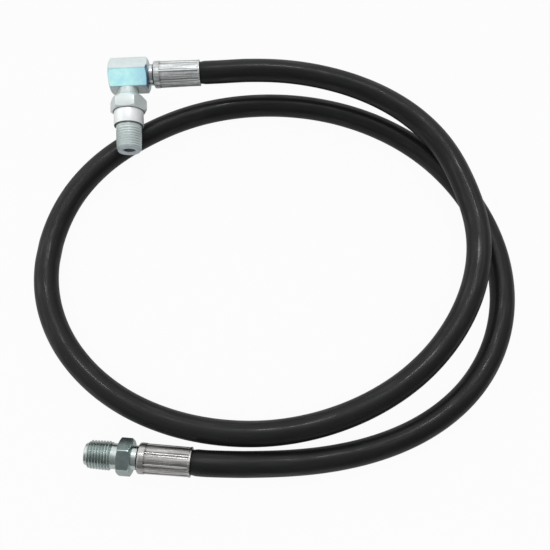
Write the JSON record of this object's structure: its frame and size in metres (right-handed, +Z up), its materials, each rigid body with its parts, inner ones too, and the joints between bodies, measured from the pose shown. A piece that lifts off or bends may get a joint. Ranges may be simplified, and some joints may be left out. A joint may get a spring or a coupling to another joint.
{
  "type": "hydraulic hose assembly",
  "caption": "Flexible wire-braided hydraulic hose with crimped ends: a straight male taper pipe end, and a 90 degree block elbow with a live male swivel.",
  "frame": {"origin": "centre of the straight end's nose, on the axis of its pipe thread", "axes": "+X along the straight end towards its hose, +Z up; the hose lies in the XY plane's two loops on a floor about 9 mm below the origin"},
  "size_m": [0.2507, 0.226, 0.0351],
  "materials": {
    "cover_rubber": "satin",
    "tube_rubber": "matte",
    "seal_rubber": "satin",
    "steel_wire": "polished",
    "zinc_plated_steel": "satin",
    "blue_zinc_steel": "satin",
    "crimped_steel": "satin",
    "backup_plastic": "matte"
  },
  "bodies": {
    "hose": {"hose_cover": "cover_rubber", "wire_braid": "steel_wire", "inner_tube": "tube_rubber", "straight_body": "zinc_plated_steel", "straight_ferrule": "crimped_steel", "elbow_body": "blue_zinc_steel", "elbow_tail": "zinc_plated_steel", "elbow_ferrule": "crimped_steel", "swivel_stem": "zinc_plated_steel", "swivel_o_ring": "seal_rubber", "backup_ring_inner": "backup_plastic", "backup_ring_outer": "backup_plastic"},
    "swivel": {"swivel_body": "zinc_plated_steel", "retaining_wire": "steel_wire"}
  },
  "joints": [
    {"name": "swivel_spin", "type": "hinge", "parent": "hose", "child": "swivel", "pos_m": [-0.0065, 0.20105, 0.01643], "axis": [0.1289, -0.9792, -0.1564], "continuous": true}
  ]
}
